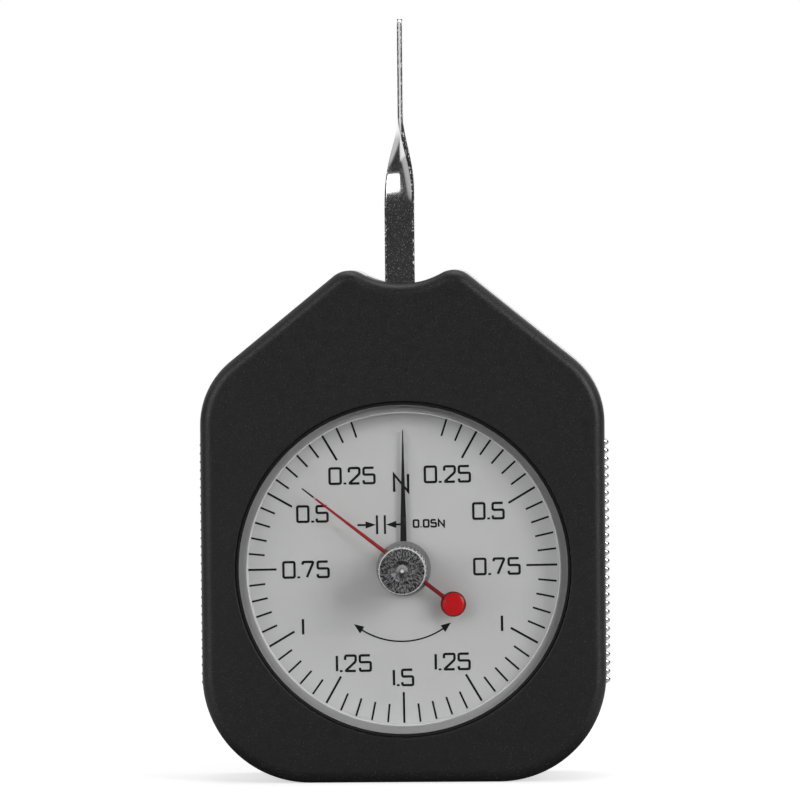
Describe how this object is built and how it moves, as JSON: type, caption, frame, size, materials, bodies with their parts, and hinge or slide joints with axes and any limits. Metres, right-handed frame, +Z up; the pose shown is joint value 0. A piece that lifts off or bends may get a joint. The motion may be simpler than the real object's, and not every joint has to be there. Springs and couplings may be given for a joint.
{
  "type": "dial tension meter",
  "caption": "Hand-held dial force meter: flat case with a round dial, two pointers, reset knob and a twisted strip arm that swings either way.",
  "frame": {"origin": "centre of the flat base that the case stands on", "axes": "+Z up through the dial to the arm's tip, +X to the right of someone reading the dial, +Y from the front to the back of the case"},
  "size_m": [0.0632, 0.027, 0.1172],
  "materials": {
    "black_case": "matt black paint",
    "chromed_case": "polished chrome plating",
    "polished_arm": "polished chrome plating",
    "steel": "turned steel",
    "spring_steel": "tempered spring steel",
    "spring_bronze": "rolled phosphor bronze",
    "bronze": "turned bronze",
    "brass": "stamped and turned brass",
    "crystal": "clear window",
    "gasket": "black rubber",
    "grey_ring": "satin grey",
    "dial_face": "fine silver-grey with black print",
    "hub_grey": "satin",
    "pointer_black": "black enamel",
    "pointer_red": "red enamel",
    "knob_metal": "plated, with a rough spun face"
  },
  "bodies": {
    "case": {"front_case": "black_case", "grip_body": "chromed_case", "back_cover": "black_case", "crystal": "crystal", "crystal_gasket": "gasket", "dial_ring": "grey_ring", "dial_plate": "dial_face", "dial_feet": "brass", "front_plate": "brass", "rear_plate": "brass", "plate_pillars": "brass", "front_bush": "bronze", "rear_bush": "bronze", "arm_pivot": "steel", "anchor_pin": "steel", "stop_pins": "steel", "arm_spring": "spring_steel", "hairspring": "spring_bronze", "hairspring_stud": "brass", "crystal_bush": "brass", "friction_washer": "spring_steel"},
    "arm": {"measuring_arm": "polished_arm", "arm_hub": "brass", "sector_gear": "brass", "drive_pin": "steel"},
    "pointer": {"pointer_arbor": "steel", "hairspring_collet": "brass", "pointer_hub": "hub_grey", "main_pointer": "pointer_black"},
    "peak": {"reset_knob": "knob_metal", "knob_spindle": "steel", "spindle_clip": "spring_steel", "peak_hub": "brass", "peak_pointer": "pointer_red", "peak_counterweight": "pointer_red"}
  },
  "joints": [
    {"name": "arm_swing", "type": "hinge", "parent": "case", "child": "arm", "pos_m": [0, 0, 0.0678], "axis": [0, 1, 0], "range_deg": [-15, 15], "stiffness_Nm_per_rad": 0.283, "deforming": ["arm_spring"]},
    {"name": "pointer_turn", "type": "hinge", "parent": "case", "child": "pointer", "pos_m": [0, 0, 0.0327], "axis": [0, 1, 0], "range_deg": [-180, 180], "deforming": ["hairspring"]},
    {"name": "peak_turn", "type": "hinge", "parent": "case", "child": "peak", "pos_m": [0, 0, 0.0327], "axis": [0, 1, 0], "continuous": true}
  ],
  "couplings": [
    {"joint": "pointer_turn", "follows": "arm_swing", "ratio": -12}
  ]
}
